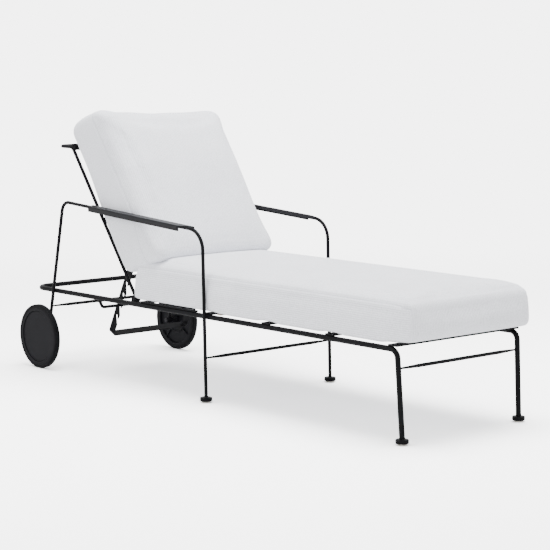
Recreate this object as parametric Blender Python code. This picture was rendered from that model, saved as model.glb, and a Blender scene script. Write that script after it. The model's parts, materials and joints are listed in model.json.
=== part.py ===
"""Reclining sun lounger: bent steel frame, five-position rack recliner, two wheels and two cushions.

Metres, +Z up, floor at Z = 0.  X runs across the lounger, -Y is the foot end and +Y the wheel end.
The back is drawn at its third notch, 54 degrees from flat.
"""
import math

import bmesh
import bpy
from mathutils import Matrix, Vector

# ---------------------------------------------------------------- driving dimensions
GAP = 0.0003                  # kept between pieces that touch

TUBE_R = 0.00925              # main seat tube
ROD_R = 0.0065                # arm frames, back frame and stretchers
THIN_ROD_R = 0.006            # catch rod and rack pivot rod

RAIL_X = 0.2825               # seat rail centreline
RAIL_Z = 0.303
RAIL_FRONT_Y = -0.989
RAIL_REAR_Y = 1.036
FRONT_BEND_R = 0.030
REAR_BEND_R = 0.065
REAR_BOW_JOINT_Y = 0.930      # butt weld between a side rail and the rear bow
FRONT_FOOT = (0.276, -1.007)  # the front legs lean in and forward toward the floor

ARM_X = RAIL_X + TUBE_R + ROD_R + GAP
MID_FOOT_Y = -0.054
ARM_FRONT = (-0.038, 0.606)   # (y, z) of the corner over the middle leg
ARM_REAR = (0.810, 0.657)     # (y, z) of the corner over the rear leg
ARM_FRONT_BEND_R = 0.075
ARM_REAR_BEND_R = 0.042

AXLE_Y = 0.924
WHEEL_R = 0.125
AXLE_Z = WHEEL_R
WHEEL_OUTER_X = 0.3515
WHEEL_WIDTH = 0.024
AXLE_R = 0.005
AXLE_BOSS_R = 0.012

FOOT_R = 0.0218
GLIDE_H = 0.005
GLIDE_R = 0.0155
FOOT_H = 0.0135

SLAT_T = 0.0055
SLAT_W = 0.040
SEAT_SLAT_Y = (-0.972, -0.680, -0.361, -0.052, 0.225)
HINGE_BAR = (0.015, 0.338)    # from, to along Y
HINGE_BAR_W = 0.012
HINGE_BAR_H = 0.0065

PIVOT_Y = 0.402
PIVOT_Z = 0.316
BACK_ANGLE = math.radians(54)
BACK_X = 0.2575               # back frame rods
BACK_LENGTH = 0.678           # pivot to the top corner, along the back
HANDLE_REACH = 0.088          # the handle bow runs level behind the top corner
PIVOT_BOSS_R = 0.011
PIVOT_BOSS_W = 0.014
PIVOT_BOLT_R = 0.004
BACK_SLAT_W = 0.027
BACK_SLAT_U = (0.145, 0.245, 0.340, 0.672)

RACK_U = 0.188                # rack pivot, along the back from the main pivot
RACK_OFF = -0.003             # and just behind the middle of the uprights
RACK_X = 0.180                # middle of each toothed arm
RACK_T = 0.005
CATCH = (0.611, 0.265)        # (y, z) of the catch rod
CATCH_X = 0.2633              # where the catch rod turns up to the rail
NOTCH_PITCH = 0.0495
NOTCH_T = 0.003               # notch centre, toward the front of the arm
NOTCH_R = THIN_ROD_R + 0.0006
NOTCH_TILT = math.radians(20)
RACK_REAR_T = -0.015
RACK_FRONT_T = 0.016
RACK_LENGTH = 0.357
RACK_BEND_R = 0.015           # outer radius of the bends into the crossbar

PAD_Y = (0.020, 0.625)        # arm pads, from, to along Y
PAD_RAKE = 0.068              # the outer edge starts this much further back than the inner one
PAD_INNER = -0.0115           # reach of a pad to each side of the rod, and how far its skirts hang
PAD_OUTER = 0.0170
PAD_TOP = ROD_R + 0.0014
PAD_INNER_SKIRT = -0.0060
PAD_OUTER_SKIRT = -0.0125
PAD_TILT = math.radians(9)    # the pads droop toward the outside

CUSHION_ROUND = 0.045
CUSHION_HEM = 0.012           # tighter rounding of the edges that lie on the frame
SEAT_CUSHION = ((-0.2885, -1.049, 0.3195), (0.2885, 0.383, 0.4620))
BACK_CUSHION_HALF_W = 0.282
# (along the back, off the back) outline of the back cushion's side
BACK_CUSHION_SIDE = ((0.115, 0.0150), (0.735, 0.0150), (0.700, 0.2500), (0.066, 0.2150))

# ---------------------------------------------------------------- start clean
for old in list(bpy.data.objects):
    bpy.data.objects.remove(old, do_unlink=True)


# ---------------------------------------------------------------- materials
def material(name, colour, roughness, metallic=0.0):
    made = bpy.data.materials.get(name)
    if made:
        return made
    made = bpy.data.materials.new(name)
    made.use_nodes = True
    shader = made.node_tree.nodes["Principled BSDF"]
    shader.inputs["Base Color"].default_value = (*colour, 1.0)
    shader.inputs["Roughness"].default_value = roughness
    shader.inputs["Metallic"].default_value = metallic
    return made


def coated_steel():
    return material("coated_steel", (0.022, 0.022, 0.024), 0.42, 0.3)


def bright_steel():
    return material("bolt_steel", (0.045, 0.045, 0.048), 0.32, 0.9)


def pad_plastic():
    return material("pad_plastic", (0.040, 0.041, 0.045), 0.45)


def wheel_plastic():
    return material("wheel_plastic", (0.030, 0.030, 0.032), 0.55)


def tyre_rubber():
    return material("tyre_rubber", (0.022, 0.022, 0.023), 0.75)


def foot_plastic():
    return material("foot_plastic", (0.020, 0.020, 0.021), 0.50)


def glide_felt():
    return material("glide_felt", (0.55, 0.54, 0.50), 0.90)


def cushion_fabric():
    return material("cushion_fabric", (0.70, 0.71, 0.73), 0.95)


def tab_fabric():
    return material("tab_fabric", (0.42, 0.33, 0.22), 0.90)


# ---------------------------------------------------------------- mesh helpers
def add_object(name, mesh, finish, sharp_angle=35):
    """Put a finished mesh into the scene as one named sub-part, shaded smooth."""
    mesh.name = name
    mesh.shade_smooth()
    mesh.set_sharp_from_angle(angle=math.radians(sharp_angle))
    mesh.materials.clear()
    mesh.materials.append(finish)
    made = bpy.data.objects.new(name, mesh)
    bpy.context.collection.objects.link(made)
    return made


def from_bmesh(bm):
    bmesh.ops.recalc_face_normals(bm, faces=bm.faces)
    mesh = bpy.data.meshes.new("mesh")
    bm.to_mesh(mesh)
    bm.free()
    return mesh


def rounded_path(corners, radii, step=math.radians(13)):
    """The points of a polyline whose inner corners are bent to the given radii."""
    corners = [Vector(c) for c in corners]
    points = [corners[0]]
    for before, corner, after, radius in zip(corners, corners[1:], corners[2:], radii):
        inward = (corner - before).normalized()
        outward = (after - corner).normalized()
        turn = inward.angle(outward)
        back_off = radius * math.tan(turn / 2)
        start = corner - inward * back_off
        centre_way = (outward - inward).normalized()
        centre = corner + centre_way * radius / math.cos(turn / 2)
        axis = inward.cross(outward).normalized()
        count = max(2, math.ceil(turn / step))
        for i in range(count + 1):
            spin = Matrix.Rotation(turn * i / count, 3, axis)
            points.append(centre + spin @ (start - centre))
    points.append(corners[-1])
    return points


def tube_mesh(points, radius, ends=1.0, taper=0.0, sides=12):
    """A round bar along the points.  ends is the scale of its two ends, reached over the taper length."""
    curve = bpy.data.curves.new("path", "CURVE")
    curve.dimensions = "3D"
    curve.bevel_depth = radius
    curve.bevel_resolution = sides // 2 - 2
    curve.use_fill_caps = True
    points = [Vector(p) for p in points]
    if taper:
        along = (points[-1] - points[0]).normalized() * taper
        points = [points[0], points[0] + along, *points[1:-1], points[-1] - along, points[-1]]
    spline = curve.splines.new("POLY")
    spline.points.add(len(points) - 1)
    for i, point in enumerate(points):
        spline.points[i].co = (*point, 1.0)
        spline.points[i].radius = ends if i in (0, len(points) - 1) else 1.0
    holder = bpy.data.objects.new("path", curve)
    bpy.context.collection.objects.link(holder)
    bpy.context.view_layer.update()
    mesh = bpy.data.meshes.new_from_object(holder.evaluated_get(bpy.context.evaluated_depsgraph_get()))
    bpy.data.objects.remove(holder, do_unlink=True)
    bpy.data.curves.remove(curve)
    bm = bmesh.new()
    bm.from_mesh(mesh)
    bmesh.ops.remove_doubles(bm, verts=bm.verts, dist=1e-6)
    return from_bmesh(bm)


def box_mesh(low, high, bevel=0.0):
    bm = bmesh.new()
    bmesh.ops.create_cube(bm, size=1.0)
    low, high = Vector(low), Vector(high)
    for vert in bm.verts:
        vert.co = Vector((low[i] + (vert.co[i] + 0.5) * (high[i] - low[i]) for i in range(3)))
    if bevel:
        bmesh.ops.bevel(bm, geom=bm.edges[:], offset=bevel, segments=1, profile=0.5, affect="EDGES")
    return from_bmesh(bm)


def turned_mesh(profile, segments=32):
    """A solid turned about the X axis from (x, radius) points that start and end on the axis."""
    bm = bmesh.new()
    verts = [bm.verts.new((x, 0.0, r)) for x, r in profile]
    edges = [bm.edges.new(pair) for pair in zip(verts, verts[1:])]
    bmesh.ops.spin(bm, geom=verts + edges, cent=(0, 0, 0), axis=(1, 0, 0), dvec=(0, 0, 0),
                   angle=2 * math.pi, steps=segments, use_duplicate=False)
    bmesh.ops.remove_doubles(bm, verts=bm.verts, dist=1e-6)
    return from_bmesh(bm)


def ring_mesh(profile, segments=32):
    """A turned ring: a closed (x, radius) outline swept about the X axis."""
    bm = bmesh.new()
    verts = [bm.verts.new((x, 0.0, r)) for x, r in profile]
    edges = [bm.edges.new((verts[i], verts[(i + 1) % len(verts)])) for i in range(len(verts))]
    bmesh.ops.spin(bm, geom=verts + edges, cent=(0, 0, 0), axis=(1, 0, 0), dvec=(0, 0, 0),
                   angle=2 * math.pi, steps=segments, use_duplicate=False)
    bmesh.ops.remove_doubles(bm, verts=bm.verts, dist=1e-6)
    return from_bmesh(bm)


def plate_mesh(outline, x_low, x_high):
    """A flat (y, z) outline given thickness along X."""
    bm = bmesh.new()
    face = bm.faces.new([bm.verts.new((x_low, y, z)) for y, z in outline])
    raised = bmesh.ops.extrude_face_region(bm, geom=[face])["geom"]
    for vert in raised:
        if isinstance(vert, bmesh.types.BMVert):
            vert.co.x = x_high
    return from_bmesh(bm)


def moved(mesh, matrix):
    mesh.transform(matrix)
    if matrix.determinant() < 0:
        mesh.flip_normals()
    return mesh


def operand(name, mesh):
    """A hidden helper body for a Boolean."""
    helper = bpy.data.objects.new(name, mesh)
    bpy.context.collection.objects.link(helper)
    helper.display_type = "WIRE"
    helper.hide_render = True
    return helper


def boolean(target, helper, operation):
    mod = target.modifiers.new(helper.name, "BOOLEAN")
    mod.operation = operation
    mod.object = helper
    mod.solver = "EXACT"
    return mod


def arc(centre, radius, start, end, count):
    """Points of a circle arc in a plane, angles in radians."""
    angles = [start + (end - start) * i / count for i in range(count + 1)]
    return [(centre[0] + radius * math.cos(a), centre[1] + radius * math.sin(a)) for a in angles]


SIDES = (("left", 1), ("right", -1))   # the sitter's left is +X


# ---------------------------------------------------------------- the back's own directions
BACK_UP = Vector((0, math.cos(BACK_ANGLE), math.sin(BACK_ANGLE)))
BACK_OUT = Vector((0, -math.sin(BACK_ANGLE), math.cos(BACK_ANGLE)))
PIVOT = Vector((0, PIVOT_Y, PIVOT_Z))


def on_back(x, along, off):
    """A point given across, along and off the back frame."""
    return PIVOT + BACK_UP * along + BACK_OUT * off + Vector((x, 0, 0))


def back_frame_matrix():
    """Turns a mesh drawn with +Y along the back and +Z off it into place."""
    turn = Matrix(((1, 0, 0), (0, BACK_UP.y, BACK_OUT.y), (0, BACK_UP.z, BACK_OUT.z))).to_4x4()
    return Matrix.Translation(PIVOT) @ turn


RACK_PIVOT = on_back(0, RACK_U, RACK_OFF)


def joint_parent(name, place):
    """An empty on a joint's axis, which carries the moving pieces."""
    empty = bpy.data.objects.new(name, None)
    empty.empty_display_size = 0.03
    empty.location = place
    bpy.context.collection.objects.link(empty)
    bpy.context.view_layer.update()
    return empty


def hang(child, parent):
    child.parent = parent
    child.matrix_parent_inverse = parent.matrix_world.inverted()


# ---------------------------------------------------------------- seat frame
def seat_rail(side, sign):
    """Front leg, bend and side rail in one tube."""
    foot_x, foot_y = FRONT_FOOT
    path = rounded_path(
        [(sign * foot_x, foot_y, GLIDE_H + FOOT_H + 5 * GAP),
         (sign * RAIL_X, RAIL_FRONT_Y, RAIL_Z),
         (sign * RAIL_X, REAR_BOW_JOINT_Y - GAP, RAIL_Z)],
        [FRONT_BEND_R])
    add_object(f"seat_rail_{side}", tube_mesh(path, TUBE_R), coated_steel())


def seat_rear_bow():
    path = rounded_path(
        [(-RAIL_X, REAR_BOW_JOINT_Y, RAIL_Z), (-RAIL_X, RAIL_REAR_Y, RAIL_Z),
         (RAIL_X, RAIL_REAR_Y, RAIL_Z), (RAIL_X, REAR_BOW_JOINT_Y, RAIL_Z)],
        [REAR_BEND_R, REAR_BEND_R])
    add_object("seat_rear_bow", tube_mesh(path, TUBE_R), coated_steel())


def seat_slats():
    reach = RAIL_X + 0.006
    low_z = RAIL_Z + TUBE_R + GAP
    for number, y in enumerate(SEAT_SLAT_Y, start=1):
        between_bars = HINGE_BAR[0] < y < HINGE_BAR[1]
        half = RAIL_X - HINGE_BAR_W / 2 - GAP if between_bars else reach
        mesh = box_mesh((-half, y - SLAT_W / 2, low_z), (half, y + SLAT_W / 2, low_z + SLAT_T), 0.0008)
        add_object(f"seat_slat_{number}", mesh, coated_steel())


def hinge_bar(side, sign):
    """Flat bar on top of the rail that stiffens it ahead of the back hinge."""
    low_z = RAIL_Z + TUBE_R + GAP
    half = HINGE_BAR_W / 2
    mesh = box_mesh((sign * RAIL_X - half, HINGE_BAR[0], low_z),
                    (sign * RAIL_X + half, HINGE_BAR[1], low_z + HINGE_BAR_H), 0.001)
    add_object(f"hinge_bar_{side}", mesh, coated_steel())


# ---------------------------------------------------------------- arm frames
def arm_frame(side, sign):
    """Middle leg, arm and rear leg bent from one rod, with the axle boss welded to its lower end."""
    x = sign * ARM_X
    rear_top = Vector((x, *ARM_REAR))
    axle = Vector((x, AXLE_Y, AXLE_Z))
    leg_end = axle + (rear_top - axle).normalized() * AXLE_BOSS_R * 0.7
    path = rounded_path(
        [(x, MID_FOOT_Y, GLIDE_H + FOOT_H + 2 * GAP), (x, *ARM_FRONT), rear_top, leg_end],
        [ARM_FRONT_BEND_R, ARM_REAR_BEND_R])
    frame = add_object(f"arm_frame_{side}", tube_mesh(path, ROD_R), coated_steel())
    inner, outer = ARM_X - 0.0127, ARM_X + 0.0127
    boss = turned_mesh([(inner, 0), (inner, AXLE_BOSS_R - 0.001), (inner + 0.001, AXLE_BOSS_R),
                        (outer - 0.001, AXLE_BOSS_R), (outer, AXLE_BOSS_R - 0.001), (outer, 0)], 24)
    place = Matrix.Translation((0, AXLE_Y, AXLE_Z)) @ Matrix.Diagonal((sign, 1, 1, 1))
    boolean(frame, operand(f"axle_boss_{side}", moved(boss, place)), "UNION")
    bore = turned_mesh([(inner - 0.01, 0), (inner - 0.01, AXLE_R + GAP),
                        (outer + 0.01, AXLE_R + GAP), (outer + 0.01, 0)], 24)
    boolean(frame, operand(f"axle_bore_{side}", moved(bore, place)), "DIFFERENCE")


def arm_pad(side, sign):
    """Cover over the straight of the arm rod, open underneath, with its front end cut at a slant."""
    slope = math.atan2(ARM_REAR[1] - ARM_FRONT[1], ARM_REAR[0] - ARM_FRONT[0])
    rise = (PAD_Y[0] - ARM_FRONT[0]) * math.tan(slope)
    seat_r = ROD_R + GAP
    corner_r = 0.004
    inner, outer = (PAD_INNER + corner_r, PAD_TOP - corner_r), (PAD_OUTER - corner_r, PAD_TOP - corner_r)
    outline = [(PAD_INNER, PAD_INNER_SKIRT)]
    outline += arc(inner, corner_r, math.pi, math.pi / 2, 4)
    outline += arc(outer, corner_r, math.pi / 2, 0, 4)
    outline += [(PAD_OUTER, PAD_OUTER_SKIRT), (PAD_OUTER - 0.003, PAD_OUTER_SKIRT), (PAD_OUTER - 0.003, -0.002)]
    outline += [(seat_r + 0.0004, -0.002), *arc((0, 0), seat_r, 0, math.pi, 8)]
    outline += [(-seat_r - 0.0004, PAD_INNER_SKIRT)]
    length = (PAD_Y[1] - PAD_Y[0]) / math.cos(slope)
    bm = bmesh.new()
    face = bm.faces.new([bm.verts.new((x, PAD_RAKE * (x - PAD_INNER) / (PAD_OUTER - PAD_INNER), z))
                         for x, z in outline])
    raised = bmesh.ops.extrude_face_region(bm, geom=[face])["geom"]
    for vert in raised:
        if isinstance(vert, bmesh.types.BMVert):
            vert.co.y = length
    mesh = moved(from_bmesh(bm), Matrix.Diagonal((sign, 1, 1, 1)))
    place = (Matrix.Translation((sign * ARM_X, PAD_Y[0], ARM_FRONT[1] + rise))
             @ Matrix.Rotation(slope, 4, "X") @ Matrix.Rotation(sign * PAD_TILT, 4, "Y"))
    add_object(f"arm_pad_{side}", moved(mesh, place), pad_plastic())


# ---------------------------------------------------------------- stretchers and catch rod
def stretcher(name, half_length, y, z):
    path = [(-half_length, y, z), (half_length, y, z)]
    add_object(name, tube_mesh(path, ROD_R - 0.0003, ends=0.5, taper=0.08), coated_steel())


def leg_point(foot, top, height):
    """The point of a straight leg at a height, given its (x, y) on the floor and its top corner."""
    share = height / top[2]
    return [foot[i] + (top[i] - foot[i]) * share for i in range(2)]


def stretchers():
    front_z, mid_z, rear_z = 0.243, 0.158, 0.2425
    front_x, front_y = leg_point(FRONT_FOOT, (RAIL_X, RAIL_FRONT_Y, RAIL_Z), front_z)
    stretcher("front_stretcher", front_x - TUBE_R - 0.0006, front_y, front_z)
    mid_y = leg_point((ARM_X, MID_FOOT_Y), (ARM_X, *ARM_FRONT), mid_z)[1]
    stretcher("mid_stretcher", ARM_X - ROD_R - GAP, mid_y, mid_z)
    share = (rear_z - AXLE_Z) / (ARM_REAR[1] - AXLE_Z)
    rear_y = AXLE_Y + (ARM_REAR[0] - AXLE_Y) * share
    stretcher("rear_stretcher", ARM_X - ROD_R - GAP, rear_y, rear_z)


def catch_rod():
    """Fixed rod that the rack hooks onto, turned up to the underside of both rails."""
    y, z = CATCH
    rail = Vector((RAIL_X, y, RAIL_Z))
    corner = Vector((CATCH_X, y, z))
    end = rail + (corner - rail).normalized() * (TUBE_R + 2 * GAP)
    mirror = Vector((-1, 1, 1))
    path = rounded_path([end * mirror, corner * mirror, corner, end], [0.013, 0.013])
    add_object("catch_rod", tube_mesh(path, THIN_ROD_R), coated_steel())


# ---------------------------------------------------------------- back hinge
def pivot_lug(side, sign):
    """Plate welded to the inside of the rail that carries the back's pivot bolt."""
    inner = BACK_X + PIVOT_BOSS_W / 2 + 2 * GAP
    outer = RAIL_X - TUBE_R - GAP
    top_r = 0.0125
    outline = arc((PIVOT_Y, PIVOT_Z), top_r, 0, math.pi, 8)
    outline += [(PIVOT_Y - top_r - 0.004, RAIL_Z - 0.005), (PIVOT_Y + top_r + 0.004, RAIL_Z - 0.005)]
    mesh = moved(plate_mesh(outline, inner, outer), Matrix.Diagonal((sign, 1, 1, 1)))
    lug = add_object(f"pivot_lug_{side}", mesh, coated_steel())
    bore = turned_mesh([(inner - 0.01, 0), (inner - 0.01, PIVOT_BOLT_R + GAP),
                        (outer + 0.004, PIVOT_BOLT_R + GAP), (outer + 0.004, 0)], 20)
    place = Matrix.Translation((0, PIVOT_Y, PIVOT_Z)) @ Matrix.Diagonal((sign, 1, 1, 1))
    boolean(lug, operand(f"lug_bore_{side}", moved(bore, place)), "DIFFERENCE")


def hex_head_bolt(start, head_h, head_r, shank_r, tip):
    """A hexagon head and a round shank along +X, joined as one turned solid."""
    bm = bmesh.new()
    rings = []
    for x, r, count in ((start, head_r, 12), (start + head_h, head_r, 12),
                        (start + head_h, shank_r, 12), (tip, shank_r, 12)):
        ring = []
        for i in range(count):
            a = 2 * math.pi * i / count
            flat = 1.0
            if r == head_r and i % 2:
                flat = math.cos(math.pi / 6)
            ring.append(bm.verts.new((x, r * flat * math.cos(a), r * flat * math.sin(a))))
        rings.append(ring)
    for lower, upper in zip(rings, rings[1:]):
        for i in range(12):
            bm.faces.new((lower[i], lower[(i + 1) % 12], upper[(i + 1) % 12], upper[i]))
    bm.faces.new(rings[0])
    bm.faces.new(rings[-1][::-1])
    return from_bmesh(bm)


def pivot_bolt(side, sign):
    head_h = 0.005
    start = BACK_X - PIVOT_BOSS_W / 2 - 2 * GAP - head_h
    mesh = hex_head_bolt(start, head_h, 0.0075, PIVOT_BOLT_R, RAIL_X - TUBE_R - 2 * GAP)
    place = Matrix.Translation((0, PIVOT_Y, PIVOT_Z)) @ Matrix.Diagonal((sign, 1, 1, 1))
    add_object(f"pivot_bolt_{side}", moved(mesh, place), bright_steel())


# ---------------------------------------------------------------- back frame
def back_frame(parent):
    """Rod bow of the back: two uprights, a level handle bow at the top, a pivot boss on each lower end."""
    top = on_back(0, BACK_LENGTH, 0)
    start = on_back(0, PIVOT_BOSS_R * 0.7, 0)
    rear = top + Vector((0, HANDLE_REACH, 0))
    left, right = Vector((BACK_X, 0, 0)), Vector((-BACK_X, 0, 0))
    path = rounded_path([start + right, top + right, rear + right, rear + left, top + left, start + left],
                        [0.032, 0.030, 0.030, 0.032])
    frame = add_object("back_frame", tube_mesh(path, ROD_R), coated_steel())
    half = PIVOT_BOSS_W / 2
    for side, sign in SIDES:
        place = Matrix.Translation((sign * BACK_X, PIVOT_Y, PIVOT_Z))
        boss = turned_mesh([(-half, 0), (-half, PIVOT_BOSS_R - 0.0008), (-half + 0.0008, PIVOT_BOSS_R),
                            (half - 0.0008, PIVOT_BOSS_R), (half, PIVOT_BOSS_R - 0.0008), (half, 0)], 24)
        boolean(frame, operand(f"pivot_boss_{side}", moved(boss, place)), "UNION")
        bore = turned_mesh([(-0.02, 0), (-0.02, PIVOT_BOLT_R + GAP), (0.02, PIVOT_BOLT_R + GAP), (0.02, 0)], 20)
        boolean(frame, operand(f"boss_bore_{side}", moved(bore, place)), "DIFFERENCE")
    hang(frame, parent)


def back_slats(parent):
    low = ROD_R + GAP
    for number, along in enumerate(BACK_SLAT_U, start=1):
        half = BACK_X + ROD_R if along == BACK_SLAT_U[-1] else BACK_X - 0.001
        mesh = box_mesh((-half, along - BACK_SLAT_W / 2, low),
                        (half, along + BACK_SLAT_W / 2, low + SLAT_T), 0.0008)
        slat = add_object(f"back_slat_{number}", moved(mesh, back_frame_matrix()), coated_steel())
        hang(slat, parent)


def rack_pivot_rod(parent):
    """Cross rod between the uprights that the rack swings on."""
    half = Vector((BACK_X - ROD_R - GAP, 0, 0))
    mesh = tube_mesh([RACK_PIVOT - half, RACK_PIVOT + half], THIN_ROD_R)
    rod = add_object("rack_pivot_rod", mesh, coated_steel())
    hang(rod, parent)


# ---------------------------------------------------------------- rack
def rack_directions():
    """Unit (y, z) directions down the toothed arm and toward its front, with notch 3 on the catch rod."""
    to_catch = Vector(CATCH) - RACK_PIVOT.yz
    reach = math.sqrt(to_catch.length_squared - NOTCH_T ** 2)
    angle = math.atan2(to_catch.y, to_catch.x) + math.atan2(NOTCH_T, reach)
    down = Vector((math.cos(angle), math.sin(angle)))
    return down, Vector((down.y, -down.x)), reach


def rack_point(down_distance, front_distance):
    down, front, _ = rack_directions()
    return tuple(RACK_PIVOT.yz + down * down_distance + front * front_distance)


def notch_outline(s):
    """Front edge round one hook: bulge, finger tip, closed notch, foot of the ramp."""
    side = Vector((-math.sin(NOTCH_TILT), math.cos(NOTCH_TILT)))
    open_way = Vector((math.cos(NOTCH_TILT), math.sin(NOTCH_TILT)))
    centre = Vector((s, NOTCH_T))
    upper = centre + side * NOTCH_R
    tip = upper + open_way * 0.0105
    start = math.atan2(side.y, side.x)
    closed = arc(centre, NOTCH_R, start, start + math.pi, 8)
    return [(s - 0.010, RACK_FRONT_T + 0.001), (tip.x - 0.002, tip.y + 0.0016), tuple(tip), *closed]


def rack_arm_outline():
    _, _, third = rack_directions()
    outline = arc((0, 0), RACK_FRONT_T, -math.pi / 2, -3 * math.pi / 2, 10)
    for k in range(4):
        outline += notch_outline(third + (k - 2) * NOTCH_PITCH)
    end = RACK_LENGTH - RACK_BEND_R
    outline += [(third + 1.62 * NOTCH_PITCH, RACK_FRONT_T + 0.001), (end - 0.008, RACK_FRONT_T),
                (end, RACK_FRONT_T), (end, RACK_REAR_T)]
    return [rack_point(s, t) for s, t in outline]


def rack_crossbar():
    """The crossbar with the bends that carry it into the two arms, drawn across, down and to the front."""
    half, low, bend = RACK_T / 2, RACK_LENGTH, RACK_BEND_R
    outline = []
    for edge_x, edge_low, radius in ((RACK_X + half, low, bend), (RACK_X - half, low - RACK_T, bend - RACK_T)):
        centre = (edge_x - radius, edge_low - radius)
        side = [(edge_x, low - bend - 0.004), *arc(centre, radius, 0, math.pi / 2, 5)]
        mirrored = [(-x, s) for x, s in reversed(side)]
        path = side + mirrored
        outline += path if not outline else path[::-1]
    bm = bmesh.new()
    face = bm.faces.new([bm.verts.new((x, s, RACK_REAR_T)) for x, s in outline])
    raised = bmesh.ops.extrude_face_region(bm, geom=[face])["geom"]
    for vert in raised:
        if isinstance(vert, bmesh.types.BMVert):
            vert.co.z = RACK_FRONT_T
    return from_bmesh(bm)


def rack_strap(parent):
    """Toothed strap: two notched arms and a flat crossbar bent from one bar."""
    half = RACK_T / 2
    outline = rack_arm_outline()
    strap = add_object("rack_strap", plate_mesh(outline, RACK_X - half, RACK_X + half), coated_steel(), 30)
    other = plate_mesh(outline, -RACK_X - half, -RACK_X + half)
    boolean(strap, operand("rack_arm_right", other), "UNION")
    down, front, _ = rack_directions()
    turn = Matrix(((1, 0, 0), (0, down.x, front.x), (0, down.y, front.y))).to_4x4()
    place = Matrix.Translation(RACK_PIVOT) @ turn
    boolean(strap, operand("rack_crossbar", moved(rack_crossbar(), place)), "UNION")
    bore_r = THIN_ROD_R + GAP
    eye = turned_mesh([(-0.25, 0), (-0.25, bore_r), (0.25, bore_r), (0.25, 0)], 24)
    boolean(strap, operand("rack_eye", moved(eye, Matrix.Translation(RACK_PIVOT))), "DIFFERENCE")
    hang(strap, parent)


def rack_collars(parent):
    """Collars on the pivot rod that keep the rack arms from sliding sideways."""
    inner, outer, width = THIN_ROD_R + GAP, THIN_ROD_R + 0.003, 0.006
    for side, sign in SIDES:
        for place, at in (("inner", RACK_X - RACK_T / 2 - GAP - width), ("outer", RACK_X + RACK_T / 2 + GAP)):
            mesh = ring_mesh([(at, inner), (at, outer), (at + width, outer), (at + width, inner)], 20)
            mesh = moved(mesh, Matrix.Translation(RACK_PIVOT) @ Matrix.Diagonal((sign, 1, 1, 1)))
            collar = add_object(f"rack_collar_{side}_{place}", mesh, coated_steel())
            hang(collar, parent)


# ---------------------------------------------------------------- wheels
def wheel_core(side, sign, parent):
    """Moulded wheel: hub, dished web with ribs on the inner side, and rim."""
    outer = WHEEL_OUTER_X - 0.0005
    inner = outer - WHEEL_WIDTH + 0.001
    hub_inner = ARM_X + 0.0127 + 0.0022
    hub_outer = outer - 0.0115
    rim_r, rim_in = WHEEL_R - 0.0140, WHEEL_R - 0.0260
    web_out, web_in = outer - 0.0095, outer - 0.0135
    profile = [(hub_inner, AXLE_R + GAP), (hub_inner, 0.017), (hub_inner + 0.001, 0.018), (web_in, 0.019),
               (web_in, 0.050), (web_in - 0.004, 0.051), (web_in - 0.004, 0.0545), (web_in, 0.0555),
               (web_in, rim_in), (inner + 0.001, rim_in + 0.001), (inner, rim_in + 0.003), (inner, rim_r),
               (outer, rim_r), (outer, rim_in + 0.002), (outer - 0.001, rim_in + 0.001),
               (web_out, rim_in), (web_out, 0.019), (hub_outer + 0.003, 0.016), (hub_outer, 0.0155),
               (hub_outer, AXLE_R + GAP)]
    place = Matrix.Translation((0, AXLE_Y, AXLE_Z)) @ Matrix.Diagonal((sign, 1, 1, 1))
    core = add_object(f"wheel_core_{side}", moved(ring_mesh(profile, 48), place), wheel_plastic())
    rib_low, rib_high = web_in - 0.006, web_in + 0.001
    for i in range(4):
        rib = box_mesh((rib_low, -0.0020, 0.0530), (rib_high, 0.0020, rim_in + 0.003))
        turn = Matrix.Rotation(math.radians(90 * i + 38), 4, "X")
        boolean(core, operand(f"rib_{side}_{i}", moved(rib, place @ turn)), "UNION")
    hang(core, parent)


def wheel_tyre(side, sign, parent):
    outer = WHEEL_OUTER_X
    inner = outer - WHEEL_WIDTH
    low, round_r = WHEEL_R - 0.0140 + GAP, 0.006
    profile = [(inner, low)]
    profile += [(inner + round_r - x, WHEEL_R - round_r + r)
                for x, r in arc((0, 0), round_r, 0, math.pi / 2, 4)]
    profile += [(outer - round_r + x, WHEEL_R - round_r + r)
                for x, r in arc((0, 0), round_r, math.pi / 2, 0, 4)]
    profile.append((outer, low))
    place = Matrix.Translation((0, AXLE_Y, AXLE_Z)) @ Matrix.Diagonal((sign, 1, 1, 1))
    tyre = add_object(f"wheel_tyre_{side}", moved(ring_mesh(profile, 56), place), tyre_rubber())
    hang(tyre, parent)


def wheel_cap(side, sign, parent):
    """Smooth cover disc pressed into the outer face of the wheel."""
    outer = WHEEL_OUTER_X - 0.0035
    inner = outer - 0.0022
    radius = WHEEL_R - 0.0260 - 0.0005
    mesh = turned_mesh([(inner, 0), (inner, radius - 0.0006), (inner + 0.0006, radius),
                        (outer - 0.0006, radius), (outer, radius - 0.0006), (outer, 0)], 48)
    place = Matrix.Translation((0, AXLE_Y, AXLE_Z)) @ Matrix.Diagonal((sign, 1, 1, 1))
    cap = add_object(f"wheel_cap_{side}", moved(mesh, place), wheel_plastic())
    hang(cap, parent)


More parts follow.
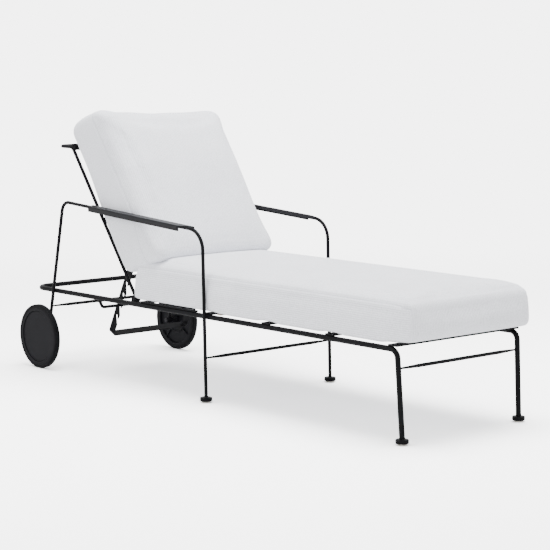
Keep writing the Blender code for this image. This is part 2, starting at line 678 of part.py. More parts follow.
def axle(side, sign):
    """Axle bolt through the boss with a washer before the hub and a nut under the cover disc."""
    place = Matrix.Translation((0, AXLE_Y, AXLE_Z)) @ Matrix.Diagonal((sign, 1, 1, 1))
    boss_in, boss_out = ARM_X - 0.0127, ARM_X + 0.0127
    head_h = 0.0055
    hub_outer = WHEEL_OUTER_X - 0.0005 - 0.0115
    nut_inner, nut_outer = hub_outer + GAP, hub_outer + 0.0050
    bolt = hex_head_bolt(boss_in - GAP - head_h, head_h, 0.0088, AXLE_R, nut_outer - 0.0002)
    add_object(f"axle_bolt_{side}", moved(bolt, place), bright_steel())
    washer = ring_mesh([(boss_out + GAP, AXLE_R + GAP), (boss_out + GAP, 0.0105),
                        (boss_out + 0.0018, 0.0105), (boss_out + 0.0018, AXLE_R + GAP)], 24)
    add_object(f"axle_washer_{side}", moved(washer, place), bright_steel())
    nut = ring_mesh([(nut_inner, AXLE_R + GAP), (nut_inner, 0.0085),
                     (nut_outer, 0.0085), (nut_outer, AXLE_R + GAP)], 6 * 4)
    add_object(f"axle_nut_{side}", moved(nut, place), bright_steel())


# ---------------------------------------------------------------- feet
def foot(name, x, y):
    """Round cap on a leg's end, with a pale glide disc under it."""
    upright = Matrix.Translation((x, y, 0)) @ Matrix.Rotation(-math.pi / 2, 4, "Y")
    base, top = GLIDE_H + GAP, GLIDE_H + GAP + FOOT_H
    cap = turned_mesh([(base, 0), (base, FOOT_R - 0.0015), (base + 0.0015, FOOT_R),
                       (top - 0.0025, FOOT_R), (top - 0.0007, FOOT_R - 0.0007),
                       (top, FOOT_R - 0.0025), (top, 0)], 28)
    add_object(f"foot_{name}", moved(cap, upright), foot_plastic())
    glide = turned_mesh([(0, 0), (0, GLIDE_R - 0.001), (0.001, GLIDE_R), (GLIDE_H, GLIDE_R), (GLIDE_H, 0)], 24)
    add_object(f"glide_{name}", moved(glide, upright), glide_felt())


# ---------------------------------------------------------------- cushions
def round_cushion(mesh, on_frame):
    """Rounds a cushion block generously, and tightly where the on_frame test says a corner lies on the frame."""
    bm = bmesh.new()
    bm.from_mesh(mesh)
    full = [edge for edge in bm.edges if not all(on_frame(vert.co) for vert in edge.verts)]
    bmesh.ops.bevel(bm, geom=full, offset=CUSHION_ROUND, segments=4, profile=0.5, affect="EDGES")
    rim = [edge for edge in bm.edges if all(on_frame(vert.co) for vert in edge.verts)
           and edge.calc_face_angle(0.0) > 0.5]
    bmesh.ops.bevel(bm, geom=rim, offset=CUSHION_HEM, segments=3, profile=0.5, affect="EDGES")
    return from_bmesh(bm)


def seat_cushion():
    bottom = SEAT_CUSHION[0][2]
    mesh = round_cushion(box_mesh(*SEAT_CUSHION), lambda point: point.z < bottom + 1e-5)
    add_object("seat_cushion", mesh, cushion_fabric(), 60)


def back_cushion(parent):
    rear = BACK_CUSHION_SIDE[0][1]
    block = plate_mesh(list(BACK_CUSHION_SIDE), -BACK_CUSHION_HALF_W, BACK_CUSHION_HALF_W)
    mesh = round_cushion(block, lambda point: point.z < rear + 1e-5)
    cushion = add_object("back_cushion", moved(mesh, back_frame_matrix()), cushion_fabric(), 60)
    hang(cushion, parent)


def cushion_tab():
    """Blank woven tab under the edge of the seat cushion."""
    top = SEAT_CUSHION[0][2] - GAP
    mesh = box_mesh((-RAIL_X - 0.004, -0.122, top - 0.0030), (-RAIL_X + 0.030, -0.102, top), 0.0004)
    add_object("cushion_tab", mesh, tab_fabric())


# ---------------------------------------------------------------- build
def build():
    back_axis = joint_parent("back_axis", PIVOT)
    rack_axis = joint_parent("rack_axis", RACK_PIVOT)
    hang(rack_axis, back_axis)

    seat_rear_bow()
    seat_slats()
    stretchers()
    catch_rod()
    for side, sign in SIDES:
        wheel_axis = joint_parent(f"wheel_axis_{side}", (sign * WHEEL_OUTER_X, AXLE_Y, AXLE_Z))
        seat_rail(side, sign)
        hinge_bar(side, sign)
        arm_frame(side, sign)
        arm_pad(side, sign)
        pivot_lug(side, sign)
        pivot_bolt(side, sign)
        wheel_core(side, sign, wheel_axis)
        wheel_tyre(side, sign, wheel_axis)
        wheel_cap(side, sign, wheel_axis)
        axle(side, sign)
        foot(f"front_{side}", sign * FRONT_FOOT[0], FRONT_FOOT[1])
        foot(f"mid_{side}", sign * ARM_X, MID_FOOT_Y)
    back_frame(back_axis)
    back_slats(back_axis)
    rack_pivot_rod(back_axis)
    rack_collars(back_axis)
    rack_strap(rack_axis)
    seat_cushion()
    back_cushion(back_axis)
    cushion_tab()


build()
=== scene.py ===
"""Looks for the reclining sun lounger: two stuffed cushions and the finish of every part."""

import json
import math

import bmesh
import bpy
import numpy as np
from mathutils import Matrix, Vector


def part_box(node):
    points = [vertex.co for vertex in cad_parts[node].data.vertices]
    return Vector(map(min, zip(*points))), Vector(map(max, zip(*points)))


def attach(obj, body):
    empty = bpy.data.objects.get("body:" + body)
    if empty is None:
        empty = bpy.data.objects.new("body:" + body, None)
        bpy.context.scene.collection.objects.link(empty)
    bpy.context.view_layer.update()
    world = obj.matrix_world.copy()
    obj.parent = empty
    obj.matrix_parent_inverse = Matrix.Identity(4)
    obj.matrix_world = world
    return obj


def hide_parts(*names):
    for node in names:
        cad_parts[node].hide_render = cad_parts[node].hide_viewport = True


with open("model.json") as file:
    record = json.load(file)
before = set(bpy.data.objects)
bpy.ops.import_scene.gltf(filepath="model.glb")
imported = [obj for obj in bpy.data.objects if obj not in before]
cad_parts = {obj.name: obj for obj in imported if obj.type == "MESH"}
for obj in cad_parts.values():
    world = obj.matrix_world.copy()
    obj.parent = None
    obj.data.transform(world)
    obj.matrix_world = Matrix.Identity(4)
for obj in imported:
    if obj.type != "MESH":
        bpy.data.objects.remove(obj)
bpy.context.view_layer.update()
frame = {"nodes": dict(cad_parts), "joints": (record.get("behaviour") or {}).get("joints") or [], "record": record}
NODES = frame["nodes"]
JOINTS = {joint["name"]: joint for joint in frame["joints"]}
SCENE = bpy.context.scene

PIVOT = Vector(JOINTS["back_recline"]["pos_m"])
BACK_ANGLE = math.radians(54)


# ---------------------------------------------------------------- node helpers
def new_material(name):
    made = bpy.data.materials.new(name)
    made.use_nodes = True
    nodes, links = made.node_tree.nodes, made.node_tree.links
    return made, nodes, links, nodes["Principled BSDF"]


def math_node(nodes, links, operation, first, second=None):
    node = nodes.new("ShaderNodeMath")
    node.operation = operation
    for socket, value in zip(node.inputs, (first, second)):
        if value is None:
            continue
        if isinstance(value, (int, float)):
            socket.default_value = value
        else:
            links.new(value, socket)
    return node.outputs[0]


def noise_node(nodes, links, vector, scale, detail=3.0, roughness=0.5):
    node = nodes.new("ShaderNodeTexNoise")
    node.inputs["Scale"].default_value = scale
    node.inputs["Detail"].default_value = detail
    node.inputs["Roughness"].default_value = roughness
    links.new(vector, node.inputs["Vector"])
    return node.outputs["Fac"]


def ramp_node(nodes, links, fac, stops):
    node = nodes.new("ShaderNodeValToRGB")
    ramp = node.color_ramp
    while len(ramp.elements) < len(stops):
        ramp.elements.new(0.5)
    for element, (place, colour) in zip(ramp.elements, stops):
        element.position = place
        element.color = (*colour, 1.0)
    links.new(fac, node.inputs["Fac"])
    return node.outputs["Color"]


def bump_node(nodes, links, height, strength, distance, normal=None):
    node = nodes.new("ShaderNodeBump")
    node.inputs["Strength"].default_value = strength
    node.inputs["Distance"].default_value = distance
    links.new(height, node.inputs["Height"])
    if normal is not None:
        links.new(normal, node.inputs["Normal"])
    return node.outputs["Normal"]


def map_range(nodes, links, value, low, high):
    node = nodes.new("ShaderNodeMapRange")
    node.inputs["To Min"].default_value = low
    node.inputs["To Max"].default_value = high
    links.new(value, node.inputs["Value"])
    return node.outputs["Result"]


# ---------------------------------------------------------------- materials
SEAM_MARK = "seam"       # mesh attribute that is 1 on a seam, where the fabric is darkened with painted shade
RIB_SPACING = 2.3        # ribs in the cushion cloth, in threads


def powder_coat(name, colour, roughness, grain=900.0, depth=0.00008):
    """Satin powder coat: even colour, fine orange-peel and a little sheen variation."""
    made, nodes, links, shader = new_material(name)
    place = nodes.new("ShaderNodeTexCoord").outputs["Object"]
    broad = noise_node(nodes, links, place, 14.0, 2.0)
    peel = noise_node(nodes, links, place, grain, 2.0)
    dark = tuple(c * 0.8 for c in colour)
    light = tuple(c * 1.25 for c in colour)
    tint = ramp_node(nodes, links, broad, [(0.3, dark), (0.7, light)])
    links.new(tint, shader.inputs["Base Color"])
    gloss = map_range(nodes, links, peel, roughness - 0.07, roughness + 0.07)
    links.new(gloss, shader.inputs["Roughness"])
    links.new(bump_node(nodes, links, peel, 0.5, depth), shader.inputs["Normal"])
    shader.inputs["Specular IOR Level"].default_value = 0.05
    return made


def moulded(name, colour, roughness, grain, depth, sheen=0.05):
    """Moulded plastic or rubber with a fine even texture."""
    made, nodes, links, shader = new_material(name)
    place = nodes.new("ShaderNodeTexCoord").outputs["Object"]
    cells = nodes.new("ShaderNodeTexVoronoi")
    cells.inputs["Scale"].default_value = grain
    links.new(place, cells.inputs["Vector"])
    haze = noise_node(nodes, links, place, 22.0, 3.0)
    dark = tuple(c * 0.8 for c in colour)
    light = tuple(c * 1.2 for c in colour)
    tint = ramp_node(nodes, links, haze, [(0.3, dark), (0.7, light)])
    links.new(tint, shader.inputs["Base Color"])
    gloss = map_range(nodes, links, haze, roughness - 0.06, roughness + 0.06)
    links.new(gloss, shader.inputs["Roughness"])
    links.new(bump_node(nodes, links, cells.outputs["Distance"], 0.4, depth), shader.inputs["Normal"])
    shader.inputs["Specular IOR Level"].default_value = sheen
    return made


def turned(nodes, links, vector, angle):
    """A vector turned back about the X axis, into the frame in which a piece was cut."""
    node = nodes.new("ShaderNodeVectorRotate")
    node.rotation_type = "X_AXIS"
    node.inputs["Angle"].default_value = -angle
    links.new(vector, node.inputs["Vector"])
    return node.outputs["Vector"]


def weave_height(nodes, links, place, normal, pitch, wale):
    """Height of a weave in each of the three coordinate planes, mixed by the way the surface faces.

    wale, from 0 to 1, turns the even weave into ribs that run the length of the cushion.
    """
    split = nodes.new("ShaderNodeSeparateXYZ")
    links.new(place, split.inputs[0])
    facing = nodes.new("ShaderNodeSeparateXYZ")
    links.new(normal, facing.inputs[0])

    def product(first, second):
        return math_node(nodes, links, "MULTIPLY", first, second)

    def added(first, second):
        return math_node(nodes, links, "ADD", first, second)

    turn = 2 * math.pi / pitch
    waves = [math_node(nodes, links, "SINE", product(split.outputs[i], turn)) for i in range(3)]
    height = None
    for i, (run, rib) in enumerate(((1, 2), (2, 0), (1, 0))):
        even = product(product(waves[run], waves[rib]), 1.0 - wale)
        cloth = added(even, product(waves[rib], wale))
        share = math_node(nodes, links, "ABSOLUTE", facing.outputs[i])
        part = product(cloth, math_node(nodes, links, "POWER", share, 4.0))
        height = part if height is None else added(height, part)
    return height


def wandering(nodes, links, vector, scale, reach):
    """A vector pushed about a little by noise, so that the threads don't run dead straight."""
    drift = nodes.new("ShaderNodeTexNoise")
    drift.inputs["Scale"].default_value = scale
    links.new(vector, drift.inputs["Vector"])
    push = nodes.new("ShaderNodeVectorMath")
    push.operation = "SCALE"
    push.inputs["Scale"].default_value = reach
    links.new(drift.outputs["Color"], push.inputs[0])
    moved = nodes.new("ShaderNodeVectorMath")
    moved.operation = "ADD"
    links.new(vector, moved.inputs[0])
    links.new(push.outputs[0], moved.inputs[1])
    return moved.outputs[0]


def shaded(nodes, links, base, fac, stops, share=1.0):
    """Multiplies a colour by a ramp of a value."""
    mix = nodes.new("ShaderNodeMix")
    mix.data_type = "RGBA"
    mix.blend_type = "MULTIPLY"
    mix.inputs["Factor"].default_value = share
    links.new(base, mix.inputs["A"])
    links.new(ramp_node(nodes, links, fac, stops), mix.inputs["B"])
    return mix.outputs["Result"]


def fabric(name, light, shade, pitch=0.0030, angle=0.0):
    """Outdoor weave with fine ribs, slubs, slight shade variation and painted shade along the sunk seams.

    angle is how far the piece leans back, so that its ribs follow its own length.
    """
    made, nodes, links, shader = new_material(name)
    around = nodes.new("ShaderNodeTexCoord")
    place = turned(nodes, links, around.outputs["Object"], angle)
    normal = turned(nodes, links, around.outputs["Normal"], angle)
    threads = wandering(nodes, links, place, 60.0, 0.0014)
    weave = weave_height(nodes, links, threads, normal, pitch, 0.25)
    ribs = weave_height(nodes, links, threads, normal, pitch * RIB_SPACING, 0.8)
    slub = noise_node(nodes, links, place, 210.0, 4.0, 0.65)
    mottle = noise_node(nodes, links, place, 9.0, 3.0)
    # The seam mark picks out the sunk seams, which are given painted shade below.
    seam = nodes.new("ShaderNodeAttribute")
    seam.attribute_name = SEAM_MARK

    full = (1.0, 1.0, 1.0)
    base = ramp_node(nodes, links, mottle, [(0.3, shade), (0.7, light)])
    base = shaded(nodes, links, base, map_range(nodes, links, weave, 0.5, 1.0),
                  [(0.0, (0.80, 0.80, 0.81)), (0.5, full)], 0.6)
    base = shaded(nodes, links, base, math_node(nodes, links, "ADD", ribs, 0.5),
                  [(0.0, (0.86, 0.86, 0.87)), (1.0, full)])
    base = shaded(nodes, links, base, slub, [(0.30, (0.77, 0.77, 0.78)), (0.62, full)])
    # Painted shade: the fabric is darker along the groove of each sunk seam.
    base = shaded(nodes, links, base, seam.outputs["Fac"], [(0.35, full), (1.0, (0.80, 0.80, 0.82))])
    links.new(base, shader.inputs["Base Color"])
    shader.inputs["Roughness"].default_value = 0.92
    shader.inputs["Sheen Weight"].default_value = 0.25
    shader.inputs["Sheen Roughness"].default_value = 0.6
    first = bump_node(nodes, links, slub, 0.35, 0.0010)
    second = bump_node(nodes, links, ribs, 0.4, 0.0006, first)
    links.new(bump_node(nodes, links, weave, 0.5, 0.0004, second), shader.inputs["Normal"])
    return made


STEEL = powder_coat("looks_coated_steel", (0.0045, 0.0045, 0.0055), 0.40)
BOLT = powder_coat("looks_bolt_steel", (0.020, 0.020, 0.022), 0.33, 1500.0)
PAD = moulded("looks_pad_plastic", (0.008, 0.008, 0.0095), 0.34, 1400.0, 0.00006, 0.09)
WHEEL = moulded("looks_wheel_plastic", (0.007, 0.007, 0.0085), 0.50, 900.0, 0.0001)
TYRE = moulded("looks_tyre_rubber", (0.005, 0.005, 0.006), 0.60, 700.0, 0.00014)
FOOT = moulded("looks_foot_plastic", (0.005, 0.005, 0.006), 0.45, 1200.0, 0.00006)
GLIDE = moulded("looks_glide", (0.52, 0.50, 0.46), 0.85, 1500.0, 0.0002)
WHITE = ((0.895, 0.91, 0.955), (0.845, 0.86, 0.905))
CLOTH = fabric("looks_cushion_fabric", *WHITE)
BACK_CLOTH = fabric("looks_back_cushion_fabric", *WHITE, angle=BACK_ANGLE)
TAB = fabric("looks_tab_fabric", (0.42, 0.33, 0.22), (0.36, 0.27, 0.17), pitch=0.0010)

FINISH = {"coated_steel": STEEL, "bolt_steel": BOLT, "pad_plastic": PAD, "wheel_plastic": WHEEL,
          "tyre_rubber": TYRE, "foot_plastic": FOOT, "glide_felt": GLIDE, "cushion_fabric": CLOTH,
          "tab_fabric": TAB}

for entry in frame["record"]["subparts"]:
    node = NODES[entry["node"]]
    for material_slot in node.material_slots:
        material_slot.material = FINISH[entry["material_slot"]]


# ---------------------------------------------------------------- cushions
VOXEL, QUICK_VOXEL = 0.006, 0.010
PRESSURE = 4.0
SEAM_FROM = 0.272        # the seams run along the sides, at least this far from the middle
SEAM_WIDTH = 0.0042      # of the sunk line
SEAM_SHADE_WIDTH = 0.0032    # of the line of painted shade in it

SEAT_HALF_WIDTH = 0.2885
SEAT_WIDEST = 0.2912     # half width that the stuffed seat cushion may reach
SEAT_TOP = 0.4685        # above the floor
SEAT_TOP_RADIUS, SEAT_HEM_RADIUS, SEAT_CORNER_RADIUS = 0.036, 0.013, 0.016
SEAT_SEAM_Z = 0.445      # the side panels' upper seam, above the floor
SEAT_SEAM_DEPTH = 0.0009
SEAT_INSET = 0.006       # by how much the form starts smaller than the stuffed cushion
SEAT_CAP = 0.011         # how far the stuffing may push a point
SLAT_SAG = 0.0045        # how far the foam hangs down between two seat slats
SEAT_SLATS = sorted(name for name in NODES if name.startswith("seat_slat_"))

BACK_HALF = (0.2860, 0.3325, 0.1190)     # half width, half height, half thickness
BACK_WIDEST = 0.2868
BACK_FOOT = 0.098        # where the cushion starts above the pivot, along the back
BACK_HEAD = 0.744        # and where it ends
BACK_REST = 0.015        # how far its rear face lies in front of the pivot
BACK_FRONT_RADIUS, BACK_CORNER_RADIUS = 0.050, 0.042
BACK_SEAM_OFF = 0.203    # how far the side seams lie in front of the pivot
BACK_SEAM_DEPTH = 0.0010
BACK_INSET = 0.007
BACK_CAP = 0.013


def soft_step(value, low, high):
    """0 below low, 1 above high, with a smooth rise between them; works on arrays."""
    t = np.clip((value - low) / (high - low), 0.0, 1.0)
    return t * t * (3.0 - 2.0 * t)


def bell(value, centre, width):
    """1 at the centre, falling off smoothly on both sides."""
    return np.exp(-((value - centre) / width) ** 2)


def grid_block(name, cuts):
    """A cube from -1 to 1 with an even grid on each face."""
    bm = bmesh.new()
    bmesh.ops.create_cube(bm, size=2.0)
    bmesh.ops.subdivide_edges(bm, edges=bm.edges[:], cuts=cuts, use_grid_fill=True)
    mesh = bpy.data.meshes.new(name)
    bm.to_mesh(mesh)
    bm.free()
    made = bpy.data.objects.new(name, mesh)
    SCENE.collection.objects.link(made)
    return made


def coordinates(mesh):
    flat = np.empty(len(mesh.vertices) * 3)
    mesh.vertices.foreach_get("co", flat)
    return flat.reshape(-1, 3)


def set_coordinates(mesh, points):
    mesh.vertices.foreach_set("co", points.astype(np.float32).ravel())
    mesh.update()


def round_edges(points, half, top_radius, bottom_radius, upright_radius):
    """Rounds a block's edges: one radius along its top, one along its bottom, one up its corners."""
    points = points * half
    rise = soft_step(points[:, 2], -half[2], half[2])
    across = np.where(rise > 0.5,
                      upright_radius + (top_radius - upright_radius) * soft_step(rise, 0.5, 1.0),
                      bottom_radius + (upright_radius - bottom_radius) * soft_step(rise, 0.0, 0.5))
    upward = np.where(points[:, 2] > 0, top_radius, bottom_radius)
    radius = np.stack([across, across, upward], axis=1)
    core = np.clip(points, radius - half, half - radius)
    out = (points - core) / radius
    length = np.linalg.norm(out, axis=1, keepdims=True)
    return core + radius * out / np.maximum(length, 1e-9) * (length > 1e-9)


def evaluated_coordinates(obj):
    shown = obj.evaluated_get(bpy.context.evaluated_depsgraph_get())
    return coordinates(shown.data)


def apply_modifiers(obj):
    shown = obj.evaluated_get(bpy.context.evaluated_depsgraph_get())
    mesh = bpy.data.meshes.new_from_object(shown)
    obj.modifiers.clear()
    obj.data = mesh


def remesh(obj, voxel):
    mod = obj.modifiers.new("Remesh", "REMESH")
    mod.mode = "VOXEL"
    mod.voxel_size = voxel
    apply_modifiers(obj)


def eased(mesh, moves, rounds):
    """Averages each point's move with its neighbours', which takes out the finest creases."""
    ends = np.empty(len(mesh.edges) * 2, dtype=np.int64)
    mesh.edges.foreach_get("vertices", ends)
    first, second = ends.reshape(-1, 2).T
    count = len(mesh.vertices)
    degree = np.bincount(ends, minlength=count)[:, None]

    def gathered(column):
        return np.bincount(first, column[second], count) + np.bincount(second, column[first], count)

    for _ in range(rounds):
        total = np.stack([gathered(moves[:, i]) for i in range(3)], axis=1)
        moves = 0.5 * moves + 0.5 * total / degree
    return moves


def inflate(obj, cap, held, stiffness=15.0, frames=20, easing=14):
    """Blows the cover up with a cloth simulation.

    held gives each point's grip, 1 where the cushion rests on something, and no point moves
    further than cap.
    """
    start = coordinates(obj.data).copy()
    grip = obj.vertex_groups.new(name="rests")
    for index in np.nonzero(held > 0.01)[0]:
        grip.add([int(index)], float(held[index]), "REPLACE")
    cloth = obj.modifiers.new("Cloth", "CLOTH")
    settings = cloth.settings
    settings.quality = 4
    settings.mass = 0.35
    settings.tension_stiffness = stiffness
    settings.compression_stiffness = stiffness
    settings.shear_stiffness = stiffness * 0.5
    settings.bending_stiffness = 4.0
    settings.vertex_group_mass = "rests"
    settings.use_pressure = True
    settings.uniform_pressure_force = PRESSURE
    settings.effector_weights.gravity = 0.0
    cloth.collision_settings.use_self_collision = False
    for number in range(1, frames + 1):
        SCENE.frame_set(number)
    moved = evaluated_coordinates(obj) - start
    obj.modifiers.clear()
    obj.vertex_groups.clear()
    SCENE.frame_set(1)
    moved = eased(obj.data, moved, easing)
    length = np.linalg.norm(moved, axis=1, keepdims=True)
    reach = cap * np.tanh(length / cap)
    set_coordinates(obj.data, start + moved * reach / np.maximum(length, 1e-9))


def hold_width(obj, limit, ease=0.016):
    """Presses the sides flat where they would bulge past the arms."""
    points = coordinates(obj.data)
    over = np.maximum(np.abs(points[:, 0]) - (limit - ease), 0.0)
    held = np.minimum(np.abs(points[:, 0]), limit - ease) + ease * np.tanh(over / ease)
    points[:, 0] = np.sign(points[:, 0]) * held
    set_coordinates(obj.data, points)


def press_seam(obj, distance, depth):
    """Sinks the cover along a seam and marks the seam for the painted shade in the fabric's material."""
    normals = np.empty(len(obj.data.vertices) * 3)
    obj.data.vertices.foreach_get("normal", normals)
    sink = depth * bell(distance, 0.0, SEAM_WIDTH)
    puff = depth * 0.5 * bell(distance, 0.011, 0.006)
    raised = normals.reshape(-1, 3) * (puff - sink)[:, None]
    set_coordinates(obj.data, coordinates(obj.data) + raised)
    mark = obj.data.attributes.new(SEAM_MARK, "FLOAT", "POINT")
    # The mark carries painted shade along the groove, used by the fabric's material.
    mark.data.foreach_set("value", bell(distance, 0.0, SEAM_SHADE_WIDTH).astype(np.float32))


def finish_cushion(obj, body, node, cloth):
    obj.data.shade_smooth()
    obj.data.materials.clear()
    obj.data.materials.append(cloth)
    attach(obj, body)
    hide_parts(node)


def subdivide(obj):
    mod = obj.modifiers.new("Subdivision", "SUBSURF")
    mod.levels = 1
    mod.render_levels = 1
    apply_modifiers(obj)


def seat_form(points, low, high, inset):
    """The seat cushion: upright side panels, crisp hems on the frame and a crowned top."""
    half = np.array([SEAT_HALF_WIDTH, (high.y - low.y) / 2, (SEAT_TOP - low.z) / 2])
    half = half + inset * np.array([0.4, 0.2, -0.5])
    toe = soft_step(-points[:, 1], 0.86, 0.96)
    hem = SEAT_HEM_RADIUS + 0.015 * toe
    corner = SEAT_CORNER_RADIUS + 0.017 * toe
    shaped = round_edges(points, half, SEAT_TOP_RADIUS, hem, corner)
    x, y, z = shaped.T
    rise = soft_step(z, 0.0, half[2])
    front = soft_step(-y, half[1] - 0.12, half[1])
    crown = (1.0 - (x / half[0]) ** 2) * 0.006 + (1.0 - (y / half[1]) ** 4) * 0.003
    z = z + crown * rise - 0.003 * front * rise + 0.005 * toe * (1.0 - soft_step(z, -half[2], 0.0))
    y = y - 0.004 * bell(z, 0.0, 0.05) * soft_step(-y, half[1] - 0.03, half[1])
    return np.stack([x, y, z], axis=1) + np.array([0.0, 0.0, -inset * 0.5])


def sag_between_slats(obj, centre):
    """Lets the underside of the seat cushion hang a little lower between the slats that carry it."""
    points = coordinates(obj.data)
    sag = np.full(len(points), SLAT_SAG)
    for slat in SEAT_SLATS:
        low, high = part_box(slat)
        reach = (high.y - low.y) / 2
        sag *= soft_step(np.abs(points[:, 1] + centre.y - (low.y + high.y) / 2), reach, reach + 0.05)
    bars_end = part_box("hinge_bar_left")[0].y - centre.y
    sag *= soft_step(bars_end - points[:, 1], 0.0, 0.05)
    points[:, 2] -= sag * (1.0 - soft_step(points[:, 2] - points[:, 2].min(), 0.010, 0.050))
    set_coordinates(obj.data, points)


def build_seat_cushion():
    low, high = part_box("seat_cushion")
    inset = SEAT_INSET
    obj = grid_block("seat_cushion_cover", 40)
    set_coordinates(obj.data, seat_form(coordinates(obj.data), low, high, inset))
    centre = Vector(((low.x + high.x) / 2, (low.y + high.y) / 2, (low.z + SEAT_TOP) / 2 + inset * 0.5))
    remesh(obj, VOXEL)
    z = coordinates(obj.data)[:, 2]
    inflate(obj, SEAT_CAP, 1.0 - soft_step(z, z.min() + 0.004, z.min() + 0.030))
    hold_width(obj, SEAT_WIDEST)
    subdivide(obj)
    sag_between_slats(obj, centre)
    x, y, z = coordinates(obj.data).T
    line = SEAT_SEAM_Z - centre.z - 0.012 * bell(y, y.min(), 0.05)
    distance = np.hypot(z - line, np.maximum(0.0, SEAM_FROM - np.abs(x)))
    press_seam(obj, distance, SEAT_SEAM_DEPTH)
    obj.location = centre
    finish_cushion(obj, "seat_frame", "seat_cushion", CLOTH)


def back_form(points, inset):
    """The back cushion, as (across, along the back, off the back).

    It is thick, crowned in front and square at the foot.
    """
    half = np.array(BACK_HALF) - inset * np.array([0.0, 1.0, 1.0])
    level = (points[:, 1] + 1.0) / 2.0
    rear_radius = 0.030 + 0.034 * soft_step(level, 0.15, 0.75)
    shaped = round_edges(points, half, BACK_FRONT_RADIUS, rear_radius, BACK_CORNER_RADIUS)
    x, along, off = shaped.T
    share = (along + half[1]) / (2 * half[1])
    depth = (off + half[2]) / (2 * half[2])
    fullness = inset / BACK_INSET * soft_step(depth, 0.4, 1.0)
    x = x * (1.0 + 0.035 * fullness - 0.006 * bell(share, 0.55, 0.2) * soft_step(depth, 0.0, 0.3))
    upper = soft_step(share, 0.15, 0.65)
    crown = 0.008 * (1 - (x / half[0]) ** 2) + 0.020 * upper - 0.006 * bell(share, 0.0, 0.16)
    off = off + depth * (crown + 0.008 * fullness)
    foot = BACK_FOOT - 0.072 * depth
    lean = x / half[0]
    ears = soft_step(np.abs(lean), 0.55, 1.0) * soft_step(share, 0.7, 1.0)
    head = BACK_HEAD - 0.068 * depth - 0.010 * (1.0 - lean ** 2) - 0.010 * lean
    head = head + 0.016 * ears * (1.0 - 0.8 * depth)
    along = foot + share * (head - foot)
    return np.stack([x, along, off + BACK_REST + half[2] + inset], axis=1)


def build_back_cushion():
    obj = grid_block("back_cushion_cover", 30)
    inset = BACK_INSET
    set_coordinates(obj.data, back_form(coordinates(obj.data), inset))
    remesh(obj, VOXEL)
    x, along, off = coordinates(obj.data).T
    above_foot = along - (0.103 - 0.30 * off)
    resting = 2.0 - soft_step(off, 0.024, 0.045) - soft_step(above_foot, 0.006, 0.035)
    inflate(obj, BACK_CAP, np.clip(resting, 0.0, 1.0))
    hold_width(obj, BACK_WIDEST)
    subdivide(obj)
    x, along, off = coordinates(obj.data).T
    line = BACK_SEAM_OFF - 0.040 * soft_step(-along, -0.30, -0.08)
    distance = np.hypot(off - line, np.maximum(0.0, SEAM_FROM - np.abs(x)))
    press_seam(obj, distance, BACK_SEAM_DEPTH)
    obj.data.transform(Matrix.Rotation(BACK_ANGLE, 4, "X"))
    obj.location = PIVOT
    finish_cushion(obj, "back", "back_cushion", BACK_CLOTH)


build_seat_cushion()
build_back_cushion()


# ---------------------------------------------------------------- floor, light and camera
FLOOR_SEEN = 1.8         # how bright the paper floor and the backdrop look to the camera
BACKDROP_SEEN = 5.5
FLOOR_LIT = 0.80         # how bright they are to the light that bounces
BACKDROP_LIT = 1.5
FLOOR_FADE = (1.6, 5.0)  # radii between which the lit floor blends into the backdrop
FLOOR_HALF_SIZE = 30.0

LENS = 120.42            # in mm, on a sensor 36 mm wide
CAMERA_SHIFT = (-0.0249, 0.0030)
CAMERA_PLACE = (-4.3265, -5.0287, 1.2587)
CAMERA_TURN = -41.608    # degrees, about the vertical
CAMERA_DIP = 7.228       # degrees below the level


def camera_ray(nodes):
    return nodes.new("ShaderNodeLightPath").outputs["Is Camera Ray"]


def seen_or_lit(nodes, links, seen, lit):
    """One value for what the camera sees directly and another for the light that bounces."""
    return map_range(nodes, links, camera_ray(nodes), lit, seen)


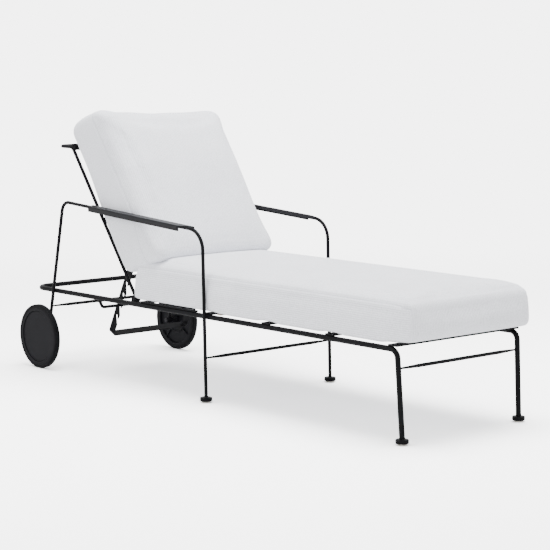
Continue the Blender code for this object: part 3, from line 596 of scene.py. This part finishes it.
def floor_paper():
    """Diffuse paper near the lounger, which fades into the backdrop's brightness further out."""
    made, nodes, links, shader = new_material("floor_paper")
    nodes.remove(shader)
    paper = nodes.new("ShaderNodeBsdfDiffuse")
    colour = nodes.new("ShaderNodeCombineXYZ")
    lift = seen_or_lit(nodes, links, FLOOR_SEEN, FLOOR_LIT)
    for socket in colour.inputs:
        links.new(lift, socket)
    links.new(colour.outputs[0], paper.inputs["Color"])
    glow = nodes.new("ShaderNodeEmission")
    glow.inputs["Strength"].default_value = BACKDROP_SEEN

    away = nodes.new("ShaderNodeVectorMath")
    away.operation = "LENGTH"
    links.new(nodes.new("ShaderNodeTexCoord").outputs["Object"], away.inputs[0])
    fade = nodes.new("ShaderNodeMapRange")
    fade.interpolation_type = "SMOOTHSTEP"
    fade.inputs["From Min"].default_value, fade.inputs["From Max"].default_value = FLOOR_FADE
    links.new(away.outputs["Value"], fade.inputs["Value"])
    faded = math_node(nodes, links, "MULTIPLY", fade.outputs["Result"], camera_ray(nodes))

    blend = nodes.new("ShaderNodeMixShader")
    links.new(faded, blend.inputs["Fac"])
    links.new(paper.outputs[0], blend.inputs[1])
    links.new(glow.outputs[0], blend.inputs[2])
    links.new(blend.outputs[0], nodes["Material Output"].inputs["Surface"])
    return made


def build_floor():
    bm = bmesh.new()
    bmesh.ops.create_grid(bm, x_segments=1, y_segments=1, size=FLOOR_HALF_SIZE)
    mesh = bpy.data.meshes.new("floor")
    bm.to_mesh(mesh)
    bm.free()
    mesh.materials.append(floor_paper())
    floor = bpy.data.objects.new("floor", mesh)
    SCENE.collection.objects.link(floor)


def area_light(name, place, aim, size, energy):
    data = bpy.data.lights.new(name, "AREA")
    data.shape = "RECTANGLE"
    data.size, data.size_y = size
    data.energy = energy
    lamp = bpy.data.objects.new(name, data)
    lamp.location = place
    lamp.rotation_euler = (Vector(aim) - Vector(place)).to_track_quat("-Z", "Y").to_euler()
    SCENE.collection.objects.link(lamp)


def build_lights():
    world = bpy.data.worlds.new("studio")
    SCENE.world = world
    world.use_nodes = True
    nodes, links = world.node_tree.nodes, world.node_tree.links
    background = nodes["Background"]
    background.inputs["Color"].default_value = (1.0, 1.0, 1.0, 1.0)
    glow = seen_or_lit(nodes, links, BACKDROP_SEEN, BACKDROP_LIT)
    links.new(glow, background.inputs["Strength"])
    area_light("overhead", (0.3, -0.2, 5.0), (0, 0, 0), (3.0, 4.0), 560.0)
    area_light("side", (-4.0, 1.0, 3.0), (0, 0, 0.4), (3.0, 2.0), 60.0)


def build_camera():
    data = bpy.data.cameras.new("camera")
    data.lens = LENS
    data.sensor_width = 36.0
    data.shift_x, data.shift_y = CAMERA_SHIFT
    camera = bpy.data.objects.new("camera", data)
    camera.location = CAMERA_PLACE
    camera.rotation_euler = (math.radians(90 - CAMERA_DIP), 0.0, math.radians(CAMERA_TURN))
    SCENE.collection.objects.link(camera)
    SCENE.camera = camera


build_floor()
build_lights()
build_camera()
